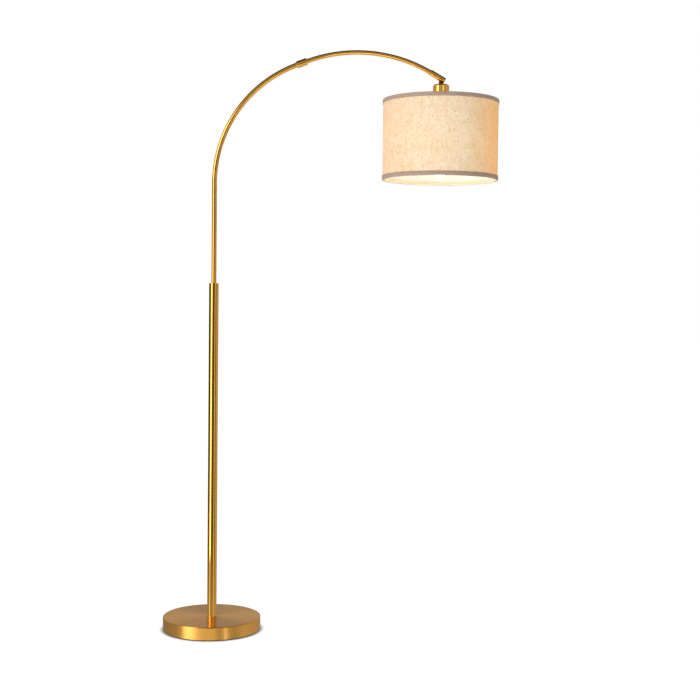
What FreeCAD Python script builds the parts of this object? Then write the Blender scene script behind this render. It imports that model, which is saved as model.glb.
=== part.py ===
import math
import os
import re

import FreeCAD
import Part
import Sketcher

# Arc floor lamp. Origin: on the floor, on the pole's axis. +Z is up, +X is towards the shade.
# Every length is in millimetres and every angle in degrees.

SIZES = {
    # Base: felt foot, closing plate, cast weight and spun cover.
    "base_dia": 254.0,
    "base_top": 34.4,
    "shell_wall": 1.2,
    "shell_rounding": 2.2,
    "foot_dia": 251.2,
    "foot_thick": 2.4,
    "plate_dia": 249.0,
    "plate_thick": 1.0,
    "weight_dia": 250.2,
    "weight_web": 20.0,
    "rim_inner_dia": 190.0,
    "hub_web": 8.0,
    "hub_inner_dia": 60.0,
    "hub_outer_dia": 92.0,
    "stud_hole_dia": 10.4,
    # Hollow threaded stud and its nut, washer and foot plug.
    "thread_dia": 10.0,
    "thread_bore": 7.0,
    "thread_hole": 10.1,
    "stud_bottom": 17.0,
    "stud_top": 58.0,
    "washer_dia": 32.0,
    "washer_thick": 2.0,
    "nut_flats": 14.0,
    "nut_thick": 5.2,
    "foot_plug_tall": 20.0,
    # Cord gland in the back of the base.
    "gland_high": 9.5,
    "gland_bore": 6.4,
    "gland_body_dia": 8.8,
    "gland_flange_dia": 13.0,
    "gland_flange_thick": 2.3,
    "gland_inner_end": 118.0,
    "gland_hole_dia": 9.0,
    "channel_wide": 10.0,
    "channel_tall": 11.2,
    # Pole.
    "pole_dia": 24.5,
    "pole_bore": 22.1,
    "pole_top": 904.0,
    "plug_dia": 22.0,
    "top_bush_tall": 24.0,
    "top_bush_drop": 0.5,
    "arm_hole": 12.8,
    "guide_dia": 21.94,
    "guide_bottom": 590.0,
    "guide_tall": 30.0,
    "guide_floor": 6.0,
    # Arm: a straight run, an arc, a straight run inside the collar, and a second arc.
    "lower_tube_dia": 12.7,
    "lower_tube_bore": 10.3,
    "upper_tube_dia": 11.6,
    "upper_tube_bore": 9.4,
    "arm_end_gap": 0.1,
    "bend_start": 1164.0,
    "lower_radius": 324.0,
    "lower_angle": 69.4,
    "collar_long": 28.0,
    "collar_dia": 18.2,
    "collar_web": 3.0,
    "collar_edge": 0.6,
    "upper_radius": 376.0,
    "upper_angle": 50.8,
    "tube_slack": 0.1,
    # End sleeve and its pivot.
    "sleeve_dia": 15.0,
    "sleeve_long": 44.0,
    "sleeve_back": 5.0,
    "sleeve_bore": 11.8,
    "sleeve_bore_deep": 20.0,
    "sleeve_edge": 0.5,
    "wire_hole": 6.0,
    "pivot_along": 33.2,
    "slot_behind": 7.5,
    "slot_above": 6.2,
    "slot_wide": 8.0,
    "pivot_dia": 4.0,
    "pivot_hole": 4.1,
    "pivot_head_dia": 6.4,
    "pivot_head_thick": 1.5,
    "pivot_head_seat": 5.8,
    "pivot_tip": 6.3,
    "driver_slot": 0.9,
    "tongue_wide": 11.5,
    "tongue_thick": 6.6,
    "joint_washer_dia": 11.0,
    "joint_washer_thick": 0.6,
    "joint_washer_gap": 0.05,
    "groove_wide": 3.0,
    "groove_root_dia": 6.8,
    # Head: heights below the pivot axis.
    "cup_top_drop": 14.9,
    "shoulder_thick": 2.2,
    "shoulder_dia": 12.4,
    "stem_long": 13.0,
    "stem_dia": 9.9,
    "stem_bore": 4.9,
    "cup_dia": 41.6,
    "cup_wall": 1.0,
    "cup_tall": 111.4,
    "cup_rounding": 5.5,
    "coupling_long": 20.0,
    "coupling_gap": 0.1,
    "nipple_top_drop": 28.0,
    "nipple_bottom_drop": 116.5,
    "holder_top_drop": 109.9,
    "holder_top_wall": 3.0,
    "holder_wall": 2.2,
    "holder_dia": 38.8,
    "holder_cap_tall": 16.9,
    "jam_nut_thick": 3.6,
    "barrel_tall": 43.0,
    "barrel_bore": 28.8,
    "barrel_seat_deep": 10.0,
    "barrel_seat_dia": 34.4,
    "barrel_flange_dia": 45.0,
    "barrel_flange_thick": 2.0,
    "insert_dia": 34.0,
    "insert_tall": 9.0,
    "screw_shell_dia": 28.4,
    "screw_shell_wall": 0.5,
    "screw_shell_tall": 31.6,
    "contact_thick": 0.8,
    "contact_long": 16.0,
    "contact_wide": 6.0,
    "contact_drop": 1.0,
    # Shade and its carrier.
    "shade_dia": 300.0,
    "shade_tall": 206.0,
    "shade_top_drop": 54.9,
    "trim_thick": 0.7,
    "trim_tall": 11.0,
    "trim_inner_dia": 285.8,
    "fabric_dia": 298.4,
    "fabric_thick": 1.2,
    "liner_dia": 295.8,
    "liner_thick": 0.9,
    "hoop_dia": 290.8,
    "hoop_wire": 3.0,
    "hoop_inset": 2.5,
    "fitter_bore": 39.6,
    "fitter_dia": 60.0,
    "fitter_thick": 1.2,
    "fitter_gap": 0.1,
    "spoke_wire": 3.0,
    "spoke_start": 27.5,
    "spoke_slope": 67.0,
    "spoke_bend": 14.0,
    "spoke_count": 3.0,
    "ring_nut_dia": 51.0,
    "ring_nut_bore": 39.1,
    "ring_nut_tall": 7.6,
    "ring_grip_dia": 3.0,
    "ring_grip_count": 24.0,
    # Lamp bulb: drops are below the holder's mouth, or above the bulb's tip.
    "bulb_tip_drop": 252.9,
    "bulb_dia": 38.0,
    "bulb_wall": 1.2,
    "bulb_globe_tall": 58.0,
    "bulb_body_tall": 23.0,
    "bulb_neck_dia": 28.4,
    "bulb_cap_dia": 26.4,
    "bulb_cap_tall": 25.0,
    "bulb_cap_wall": 0.6,
    "bulb_insulator_tall": 4.4,
    "bulb_contact_dia": 9.0,
    "bulb_contact_thick": 1.6,
    # Electrical leads that run inside.
    "lead_dia": 4.4,
    "lead_bend": 10.0,
    "lead_top": 60.0,
    "lead_gap": 0.5,
}

document = FreeCAD.newDocument("ArcFloorLamp")
sheet = document.addObject("Spreadsheet::Sheet", "Dims")
for row, (alias, size) in enumerate(SIZES.items(), start=1):
    sheet.set("A%d" % row, alias)
    sheet.set("B%d" % row, str(size))
    sheet.setAlias("B%d" % row, alias)
document.recompute()

bodies = []


def bound(words):
    """The expression with every size written as a cell of the sheet."""
    return re.sub(r"[a-z_]+", lambda m: "Dims." + m[0] if m[0] in SIZES else m[0], words)


def number(words):
    """The value that an expression of sizes has now."""
    return float(sheet.evalExpression(bound(words)))


def new_body(label, x="0", y="0", z="0", turn=None):
    """A body placed by expressions, and turned about +Y by an angle in degrees."""
    body = document.addObject("PartDesign::Body", label)
    body.Label = label
    if turn:
        rotation = FreeCAD.Rotation(FreeCAD.Vector(0, 1, 0), number(turn))
        body.Placement = FreeCAD.Placement(FreeCAD.Vector(), rotation)
        body.setExpression("Placement.Rotation.Angle", bound("(%s) * 1 deg" % turn))
    for letter, words in (("x", x), ("y", y), ("z", z)):
        body.setExpression("Placement.Base." + letter, bound(words))
    bodies.append(body)
    return body


def new_sketch(body, plane, level="0"):
    """An empty sketch on one of the body's own planes, raised along its normal."""
    sketch = body.newObject("Sketcher::SketchObject", body.Label + "_sketch")
    support = next(f for f in body.Origin.OriginFeatures if f.Role == plane)
    sketch.AttachmentSupport = (support, [""])
    sketch.MapMode = "FlatFace"
    sketch.setExpression("AttachmentOffset.Base.z", bound(level))
    return sketch


def drive(sketch, kind, where, words):
    """Adds a constraint whose size is an expression. An angle's is in degrees."""
    size = number(words)
    if kind == "Angle":
        size = math.radians(size)
        words = "(%s) * 1 deg" % words
    index = sketch.addConstraint(Sketcher.Constraint(kind, *where, size))
    sketch.setExpression("Constraints[%d]" % index, bound(words))


def fix_point(sketch, geometry, end, x, y):
    """Ties one end of an edge to the sheet, from the sketch's origin."""
    drive(sketch, "DistanceX", (-1, 1, geometry, end), x)
    drive(sketch, "DistanceY", (-1, 1, geometry, end), y)


def outline_sketch(body, plane, corners, level="0"):
    """A closed outline of straight edges through the corners."""
    sketch = new_sketch(body, plane, level)
    places = [FreeCAD.Vector(number(x), number(y), 0) for x, y in corners]
    for index, place in enumerate(places):
        following = places[(index + 1) % len(places)]
        sketch.addGeometry(Part.LineSegment(place, following), False)
    for index in range(len(corners)):
        following = (index + 1) % len(corners)
        sketch.addConstraint(Sketcher.Constraint("Coincident", index, 2, following, 1))
    for index, (x, y) in enumerate(corners):
        fix_point(sketch, index, 1, x, y)
    return sketch


def circle_sketch(body, plane, circles, level="0"):
    """Circles, each given by its centre and diameter."""
    sketch = new_sketch(body, plane, level)
    for x, y, diameter in circles:
        centre = FreeCAD.Vector(number(x), number(y), 0)
        circle = Part.Circle(centre, FreeCAD.Vector(0, 0, 1), number(diameter) / 2)
        index = sketch.addGeometry(circle, False)
        fix_point(sketch, index, 3, x, y)
        drive(sketch, "Diameter", (index,), diameter)
    return sketch


def path_sketch(body, runs):
    """A tangent path that starts at the origin along the sketch's V axis and bends to its U axis.

    A run is ("line", length) or ("arc", radius, degrees).
    """
    sketch = new_sketch(body, "XZ_Plane")
    place = FreeCAD.Vector(0, 0, 0)
    heading = 0.0
    last = None
    for kind, size, *turn in runs:
        length = number(size)
        if kind == "line":
            forward = FreeCAD.Vector(math.sin(heading), math.cos(heading), 0)
            finish = place + forward * length
            index = sketch.addGeometry(Part.LineSegment(place, finish), False)
            ends = (1, 2)
            drive(sketch, "Distance", (index,), size)
        else:
            angle = math.radians(number(turn[0]))
            aside = FreeCAD.Vector(math.cos(heading), -math.sin(heading), 0)
            circle = Part.Circle(place + aside * length, FreeCAD.Vector(0, 0, 1), length)
            arc = Part.ArcOfCircle(circle, math.pi - heading - angle, math.pi - heading)
            index = sketch.addGeometry(arc, False)
            finish = arc.StartPoint
            ends = (2, 1)
            heading += angle
            drive(sketch, "Radius", (index,), size)
            drive(sketch, "Angle", (index,), turn[0])
        if last is None:
            fix_point(sketch, index, ends[0], "0", "0")
            sketch.addConstraint(Sketcher.Constraint("Vertical", index))
        else:
            sketch.addConstraint(Sketcher.Constraint("Tangent", last[0], last[1], index, ends[0]))
        last = (index, ends[1])
        place = finish
    return sketch


def add_feature(body, kind, name, sketch):
    feature = body.newObject("PartDesign::" + kind, body.Label + "_" + name)
    feature.Profile = sketch
    return feature


def revolve(body, corners, plane="XZ_Plane", kind="Revolution"):
    """Turns an outline about the sketch's V axis: local Z on the XZ plane, local Y on the XY plane."""
    sketch = outline_sketch(body, plane, corners)
    feature = add_feature(body, kind, kind.lower(), sketch)
    feature.ReferenceAxis = (sketch, ["V_Axis"])
    feature.Angle = 360
    document.recompute()
    return feature


def pad(body, sketch, length, both_ways=False, kind="Pad"):
    feature = add_feature(body, kind, kind.lower(), sketch)
    feature.setExpression("Length", bound(length))
    feature.Midplane = both_ways
    document.recompute()
    return feature


def repeat_round(body, feature, sketch, count):
    """Copies a feature evenly round the axis through a sketch's origin."""
    pattern = body.newObject("PartDesign::PolarPattern", body.Label + "_pattern")
    pattern.Originals = [feature]
    pattern.Axis = (sketch, ["N_Axis"])
    pattern.Angle = 360
    pattern.setExpression("Occurrences", bound(count))
    body.Tip = pattern
    document.recompute()


def sweep(body, runs, diameters):
    """A round bar or tube along a tangent path."""
    path = path_sketch(body, runs)
    ring = circle_sketch(body, "XY_Plane", [("0", "0", words) for words in diameters])
    feature = add_feature(body, "AdditivePipe", "pipe", ring)
    feature.Spine = path
    document.recompute()
    return feature


def soften(body, chosen, size, kind="Fillet"):
    """Rounds or chamfers the circular edges at the chosen (radius, height) pairs, in local sizes."""
    wanted = [(number(radius), number(height)) for radius, height in chosen]
    names = []
    for index, edge in enumerate(body.Shape.Edges, start=1):
        circle = edge.Curve
        if not isinstance(circle, Part.Circle):
            continue
        height = body.Placement.inverse().multVec(circle.Center).z
        if any(abs(circle.Radius - r) < 1e-4 and abs(height - z) < 1e-4 for r, z in wanted):
            names.append("Edge%d" % index)
    if len(names) != len(wanted):
        raise RuntimeError("%s: found %d of %d edges" % (body.Label, len(names), len(wanted)))
    base = body.Tip
    feature = body.newObject("PartDesign::" + kind, body.Label + "_" + kind.lower())
    feature.Base = (base, names)
    feature.setExpression("Radius" if kind == "Fillet" else "Size", bound(size))
    document.recompute()
    return feature


def ring_outline(inner, outer, bottom, top):
    """The half section of a plain ring, from its diameters and heights."""
    inner_radius = "(%s) / 2" % inner
    outer_radius = "(%s) / 2" % outer
    return [(inner_radius, bottom), (outer_radius, bottom), (outer_radius, top), (inner_radius, top)]


def ring(label, inner, outer, bottom, top, x="0", z="0", turn=None):
    body = new_body(label, x=x, z=z, turn=turn)
    revolve(body, ring_outline(inner, outer, bottom, top))
    return body


def hexagon(flats):
    """The corners of a hexagon with two flats square to the V axis."""
    half = "(%s) / 2" % flats
    side = "(%s) / 2 / cos(30 deg)" % flats
    return [
        (side, "0"),
        (side + " / 2", half),
        ("-1 * %s / 2" % side, half),
        ("-1 * " + side, "0"),
        ("-1 * %s / 2" % side, "-1 * " + half),
        (side + " / 2", "-1 * " + half),
    ]


def hex_nut(label, bottom, tall, x="0", z="0"):
    body = new_body(label, x=x, z=z)
    pad(body, outline_sketch(body, "XY_Plane", hexagon("nut_flats"), bottom), tall)
    before = body.Shape.Volume
    hole = circle_sketch(body, "XY_Plane", [("0", "0", "thread_hole")], "(%s) + (%s)" % (bottom, tall))
    pad(body, hole, tall, kind="Pocket")
    check_removed(body, before)
    return body


def check_removed(body, before):
    if body.Shape.Volume > before - 0.1:
        raise RuntimeError(body.Label + ": a cut removed nothing")


# ---------------------------------------------------------------- places that several parts share

SHELL_INSIDE = "base_top - shell_wall"
WEIGHT_BOTTOM = "foot_thick + plate_thick"
HUB_BOTTOM = "(base_top - shell_wall - hub_web)"

LOWER_BEND = "(lower_angle * 1 deg)"
FULL_BEND = "((lower_angle + upper_angle) * 1 deg)"
BEND_END_X = "(lower_radius * (1 - cos%s))" % LOWER_BEND
BEND_END_Z = "(bend_start + lower_radius * sin%s)" % LOWER_BEND
COLLAR_X = "(%s + collar_long / 2 * sin%s)" % (BEND_END_X, LOWER_BEND)
COLLAR_Z = "(%s + collar_long / 2 * cos%s)" % (BEND_END_Z, LOWER_BEND)
ARC_END_X = (
    "(%s + collar_long * sin%s + upper_radius * (cos%s - cos%s))"
    % (BEND_END_X, LOWER_BEND, LOWER_BEND, FULL_BEND))
ARC_END_Z = (
    "(%s + collar_long * cos%s + upper_radius * (sin%s - sin%s))"
    % (BEND_END_Z, LOWER_BEND, FULL_BEND, LOWER_BEND))
SLEEVE_X = "(%s - sleeve_back * sin%s)" % (ARC_END_X, FULL_BEND)
SLEEVE_Z = "(%s - sleeve_back * cos%s)" % (ARC_END_Z, FULL_BEND)
PIVOT_X = "(%s + pivot_along * sin%s)" % (SLEEVE_X, FULL_BEND)
PIVOT_Z = "(%s + pivot_along * cos%s)" % (SLEEVE_Z, FULL_BEND)
SLEEVE_TURN = "lower_angle + upper_angle"

# Heights on the head's axis, measured from the pivot.
CUP_TOP = "(-1 * cup_top_drop)"
CUP_BOTTOM = "(-1 * cup_top_drop - cup_tall)"
HOLDER_TOP = "(-1 * holder_top_drop)"
BARREL_TOP = "(-1 * holder_top_drop - holder_cap_tall - 0.1)"
MOUTH = "(%s - barrel_tall)" % BARREL_TOP
FLANGE_BOTTOM = "(%s - barrel_flange_thick)" % BARREL_TOP
FITTER_TOP = "(%s - fitter_gap)" % FLANGE_BOTTOM
FITTER_BOTTOM = "(%s - fitter_thick)" % FITTER_TOP
INSERT_BOTTOM = "(%s - barrel_seat_deep)" % BARREL_TOP
SHADE_TOP = "(-1 * shade_top_drop)"
SHADE_BOTTOM = "(-1 * shade_top_drop - shade_tall)"
TIP = "(-1 * bulb_tip_drop)"
HEAD = {"x": PIVOT_X, "z": PIVOT_Z}


# ---------------------------------------------------------------- base

def make_foot_pad():
    """A full disc of felt, so its centre is the lamp's origin."""
    body = new_body("foot_pad")
    pad(body, circle_sketch(body, "XY_Plane", [("0", "0", "foot_dia")]), "foot_thick")


def make_base_plate():
    """A thin steel disc that closes the weight's hollow and carries the felt."""
    body = new_body("base_plate")
    disc = circle_sketch(body, "XY_Plane", [("0", "0", "plate_dia")], "foot_thick")
    pad(body, disc, "plate_thick")


def make_base_weight():
    """Cast iron, hollow below, with a thinner hub for the nut and a channel for the lead."""
    body = new_body("base_weight")
    top = SHELL_INSIDE
    web_bottom = "(base_top - shell_wall - weight_web)"
    revolve(body, [
        ("stud_hole_dia / 2", top),
        ("stud_hole_dia / 2", HUB_BOTTOM),
        ("hub_inner_dia / 2", HUB_BOTTOM),
        ("hub_outer_dia / 2", web_bottom),
        ("rim_inner_dia / 2", web_bottom),
        ("rim_inner_dia / 2 + 1.5", WEIGHT_BOTTOM),
        ("weight_dia / 2", WEIGHT_BOTTOM),
        ("weight_dia / 2", "%s - shell_rounding" % top),
        ("weight_dia / 2 - shell_rounding", top),
    ])
    before = body.Shape.Volume
    half = "channel_wide / 2"
    ceiling = WEIGHT_BOTTOM + " + channel_tall"
    channel = outline_sketch(body, "XZ_Plane", [
        ("-1 * " + half, WEIGHT_BOTTOM + " - 1"),
        (half, WEIGHT_BOTTOM + " - 1"),
        (half, ceiling),
        ("-1 * " + half, ceiling),
    ])
    pad(body, channel, "weight_dia / 2 + 1", kind="Pocket")
    check_removed(body, before)


def make_base_shell():
    """Spun cover with a rounded top edge, open below."""
    body = new_body("base_shell")
    inside = "base_dia / 2 - shell_wall"
    revolve(body, [
        ("stud_hole_dia / 2", "base_top"),
        ("stud_hole_dia / 2", SHELL_INSIDE),
        (inside, SHELL_INSIDE),
        (inside, "foot_thick"),
        ("base_dia / 2", "foot_thick"),
        ("base_dia / 2", "base_top"),
    ])
    soften(body, [("base_dia / 2", "base_top")], "shell_rounding")
    soften(body, [(inside, SHELL_INSIDE)], "shell_rounding - shell_wall")
    before = body.Shape.Volume
    hole = circle_sketch(body, "XZ_Plane", [("0", "gland_high", "gland_hole_dia")])
    pad(body, hole, "base_dia", kind="Pocket")
    check_removed(body, before)


def make_stud_and_nut():
    """The hollow stud that clamps pole, cover and weight, and carries the lead up."""
    ring("base_stud", "thread_bore", "thread_dia", "stud_bottom", "stud_top")
    washer_bottom = HUB_BOTTOM + " - washer_thick"
    ring("base_washer", "stud_hole_dia", "washer_dia", washer_bottom, HUB_BOTTOM)
    hex_nut("base_nut", washer_bottom + " - nut_thick", "nut_thick")


def make_cord_gland():
    """A flanged bush in the back of the cover, where the mains cord enters."""
    body = new_body("cord_gland", z="gland_high")
    seat = "base_dia / 2"
    revolve(body, [
        ("gland_bore / 2", "gland_inner_end"),
        ("gland_body_dia / 2", "gland_inner_end"),
        ("gland_body_dia / 2", seat),
        ("gland_flange_dia / 2", seat),
        ("gland_flange_dia / 2", seat + " + gland_flange_thick / 2"),
        ("gland_body_dia / 2", seat + " + gland_flange_thick"),
        ("gland_bore / 2", seat + " + gland_flange_thick"),
    ], plane="XY_Plane")


# ---------------------------------------------------------------- pole

def make_pole():
    ring("pole_foot_plug", "thread_hole", "plug_dia", "base_top", "base_top + foot_plug_tall")
    ring("pole_tube", "pole_bore", "pole_dia", "base_top", "pole_top")
    top = "pole_top - top_bush_drop"
    ring("pole_top_bush", "arm_hole", "plug_dia", top + " - top_bush_tall", top)


def make_arm_guide_plug():
    """Slides in the pole with the arm, which stands on its floor and can turn there."""
    body = new_body("arm_guide_plug", z="guide_bottom")
    revolve(body, [
        ("thread_bore / 2", "0"),
        ("guide_dia / 2", "0"),
        ("guide_dia / 2", "guide_tall"),
        ("arm_hole / 2", "guide_tall"),
        ("arm_hole / 2", "guide_floor"),
        ("thread_bore / 2", "guide_floor"),
    ])


# ---------------------------------------------------------------- arm

ARM_BOTTOM = "(guide_bottom + guide_floor + arm_end_gap)"
HALF_COLLAR_RUN = "(collar_long / 2 - collar_web / 2)"
SLEEVE_RUN = "(sleeve_bore_deep - sleeve_back - tube_slack)"


def make_arm_tubes():
    lower = new_body("arm_lower_tube", z=ARM_BOTTOM)
    sweep(lower, [
        ("line", "bend_start - " + ARM_BOTTOM),
        ("arc", "lower_radius", "lower_angle"),
        ("line", HALF_COLLAR_RUN),
    ], ["lower_tube_dia", "lower_tube_bore"])
    start = "(collar_web / 2)"
    upper = new_body(
        "arm_upper_tube",
        x="%s + %s * sin%s" % (COLLAR_X, start, LOWER_BEND),
        z="%s + %s * cos%s" % (COLLAR_Z, start, LOWER_BEND),
        turn="lower_angle")
    sweep(upper, [
        ("line", HALF_COLLAR_RUN),
        ("arc", "upper_radius", "upper_angle"),
        ("line", SLEEVE_RUN),
    ], ["upper_tube_dia", "upper_tube_bore"])


def make_arm_joint():
    """The collar that covers the joint between the two tubes, and the hollow spigot inside them."""
    half = "collar_long / 2"
    web = "collar_web / 2"
    collar = new_body("arm_collar", x=COLLAR_X, z=COLLAR_Z, turn="lower_angle")
    revolve(collar, [
        ("lower_tube_dia / 2 + 0.05", "-1 * " + half),
        ("collar_dia / 2", "-1 * " + half),
        ("collar_dia / 2", half),
        ("upper_tube_dia / 2 + 0.05", half),
        ("upper_tube_dia / 2 + 0.05", web),
        ("lower_tube_bore / 2 + 0.05", web),
        ("lower_tube_bore / 2 + 0.05", "-1 * " + web),
        ("lower_tube_dia / 2 + 0.05", "-1 * " + web),
    ])
    edges = [("collar_dia / 2", half), ("collar_dia / 2", "-1 * " + half)]
    soften(collar, edges, "collar_edge")
    spigot = new_body("arm_joint_spigot", x=COLLAR_X, z=COLLAR_Z, turn="lower_angle")
    revolve(spigot, [
        ("thread_bore / 2", "-1 * " + half),
        ("lower_tube_bore / 2 - 0.05", "-1 * " + half),
        ("lower_tube_bore / 2 - 0.05", web),
        ("upper_tube_bore / 2 - 0.05", web),
        ("upper_tube_bore / 2 - 0.05", half),
        ("thread_bore / 2", half),
    ])


def make_end_sleeve():
    """The sleeve on the arm's end. Its local Z runs outwards and its local X points to its underside."""
    body = new_body("end_sleeve", x=SLEEVE_X, z=SLEEVE_Z, turn=SLEEVE_TURN)
    revolve(body, [
        ("wire_hole / 2", "sleeve_long"),
        ("wire_hole / 2", "sleeve_bore_deep"),
        ("sleeve_bore / 2", "sleeve_bore_deep"),
        ("sleeve_bore / 2", "0"),
        ("sleeve_dia / 2", "0"),
        ("sleeve_dia / 2", "sleeve_long"),
    ])
    edges = [("sleeve_dia / 2", "0"), ("sleeve_dia / 2", "sleeve_long")]
    soften(body, edges, "sleeve_edge", kind="Chamfer")
    before = body.Shape.Volume
    slot = outline_sketch(body, "XZ_Plane", [
        ("-1 * slot_above", "pivot_along - slot_behind"),
        ("sleeve_dia", "pivot_along - slot_behind"),
        ("sleeve_dia", "sleeve_long + 1"),
        ("-1 * slot_above", "sleeve_long + 1"),
    ])
    pad(body, slot, "slot_wide", both_ways=True, kind="Pocket")
    check_removed(body, before)
    before = body.Shape.Volume
    screw_hole = circle_sketch(
        body, "XZ_Plane", [("0", "pivot_along", "pivot_hole")], "pivot_tip + 0.2")
    pad(body, screw_hole, "pivot_tip + sleeve_dia", kind="Pocket")
    check_removed(body, before)
    before = body.Shape.Volume
    counterbore = circle_sketch(
        body, "XZ_Plane", [("0", "pivot_along", "pivot_head_dia + 0.2")], "-1 * pivot_head_seat")
    pad(body, counterbore, "sleeve_dia", kind="Pocket")
    check_removed(body, before)


def make_pivot():
    """The screw goes in from the back, so its local axis is Y."""
    screw = new_body("pivot_screw", x=PIVOT_X, z=PIVOT_Z, turn=SLEEVE_TURN)
    head_top = "pivot_head_seat + pivot_head_thick"
    revolve(screw, [
        ("0", "-1 * pivot_tip"),
        ("pivot_dia / 2", "-1 * pivot_tip"),
        ("pivot_dia / 2", "pivot_head_seat"),
        ("pivot_head_dia / 2", "pivot_head_seat"),
        ("pivot_head_dia / 2", head_top),
        ("0", head_top),
    ], plane="XY_Plane")
    before = screw.Shape.Volume
    half = "driver_slot / 2"
    slot = outline_sketch(screw, "XZ_Plane", [
        ("-1 * pivot_head_dia", "-1 * " + half),
        ("pivot_head_dia", "-1 * " + half),
        ("pivot_head_dia", half),
        ("-1 * pivot_head_dia", half),
    ], "-1 * (%s - pivot_head_thick / 2)" % head_top)
    pad(screw, slot, "pivot_head_thick", kind="Pocket")
    check_removed(screw, before)
    washers = new_body("pivot_washers", x=PIVOT_X, z=PIVOT_Z, turn=SLEEVE_TURN)
    outside = "slot_wide / 2 - joint_washer_gap"
    for level in (outside, "-1 * (%s - joint_washer_thick)" % outside):
        disc = circle_sketch(washers, "XZ_Plane", [
            ("0", "0", "joint_washer_dia"),
            ("0", "0", "pivot_hole + 0.1"),
        ], level)
        washer = pad(washers, disc, "joint_washer_thick")
        washer.Reversed = True
        document.recompute()


# ---------------------------------------------------------------- head

def make_knuckle():
    """The dark tongue that turns in the sleeve's slot, with a shoulder and a hollow threaded stem."""
    body = new_body("knuckle", **HEAD)
    half = "tongue_wide / 2"
    shoulder_top = "(%s + shoulder_thick)" % CUP_TOP
    plate = outline_sketch(body, "XZ_Plane", [
        ("-1 * " + half, shoulder_top + " - 0.5"),
        (half, shoulder_top + " - 0.5"),
        (half, "0"),
        ("-1 * " + half, "0"),
    ])
    pad(body, plate, "tongue_thick", both_ways=True)
    end = circle_sketch(body, "XZ_Plane", [("0", "0", "tongue_wide")])
    pad(body, end, "tongue_thick", both_ways=True)
    stem_bottom = "(%s - stem_long)" % CUP_TOP
    revolve(body, [
        ("0", stem_bottom),
        ("stem_dia / 2", stem_bottom),
        ("stem_dia / 2", CUP_TOP),
        ("shoulder_dia / 2", CUP_TOP),
        ("shoulder_dia / 2", shoulder_top + " - 0.6"),
        ("shoulder_dia / 2 - 0.6", shoulder_top),
        ("0", shoulder_top),
    ])
    before = body.Shape.Volume
    pivot = circle_sketch(body, "XZ_Plane", [("0", "0", "pivot_hole")])
    pad(body, pivot, "tongue_thick + 2", both_ways=True, kind="Pocket")
    check_removed(body, before)
    before = body.Shape.Volume
    root = "groove_root_dia / 2"
    edge = "groove_wide / 2"
    revolve(body, [
        (root, "-1 * " + edge),
        (half + " + 0.5", "-1 * " + edge),
        (half + " + 0.5", edge),
        (root, edge),
    ], plane="XY_Plane", kind="Groove")
    check_removed(body, before)
    before = body.Shape.Volume
    bore = circle_sketch(body, "XY_Plane", [("0", "0", "stem_bore")], "-1 * " + root)
    pad(body, bore, "cup_top_drop + stem_long", kind="Pocket")
    check_removed(body, before)


def make_socket_cup():
    """The deep round cup that hides the lamp holder."""
    body = new_body("socket_cup", **HEAD)
    inside = "cup_dia / 2 - cup_wall"
    revolve(body, [
        ("thread_hole / 2", CUP_TOP),
        ("thread_hole / 2", CUP_TOP + " - cup_wall"),
        (inside, CUP_TOP + " - cup_wall"),
        (inside, CUP_BOTTOM),
        ("cup_dia / 2", CUP_BOTTOM),
        ("cup_dia / 2", CUP_TOP),
    ])
    soften(body, [("cup_dia / 2", CUP_TOP)], "cup_rounding")
    soften(body, [(inside, CUP_TOP + " - cup_wall")], "cup_rounding - cup_wall")


def make_cup_fixings():
    """Coupling under the cup's top, the long hollow nipple, and the nut that holds the lamp holder."""
    top = CUP_TOP + " - cup_wall - coupling_gap"
    hex_nut("stem_coupling", top + " - coupling_long", "coupling_long", **HEAD)
    ring("socket_nipple", "thread_bore", "thread_dia - 0.1",
         "-1 * nipple_bottom_drop", "-1 * nipple_top_drop", **HEAD)
    under = HOLDER_TOP + " - holder_top_wall - 0.1"
    hex_nut("nipple_nut", under + " - jam_nut_thick", "jam_nut_thick", **HEAD)


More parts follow.
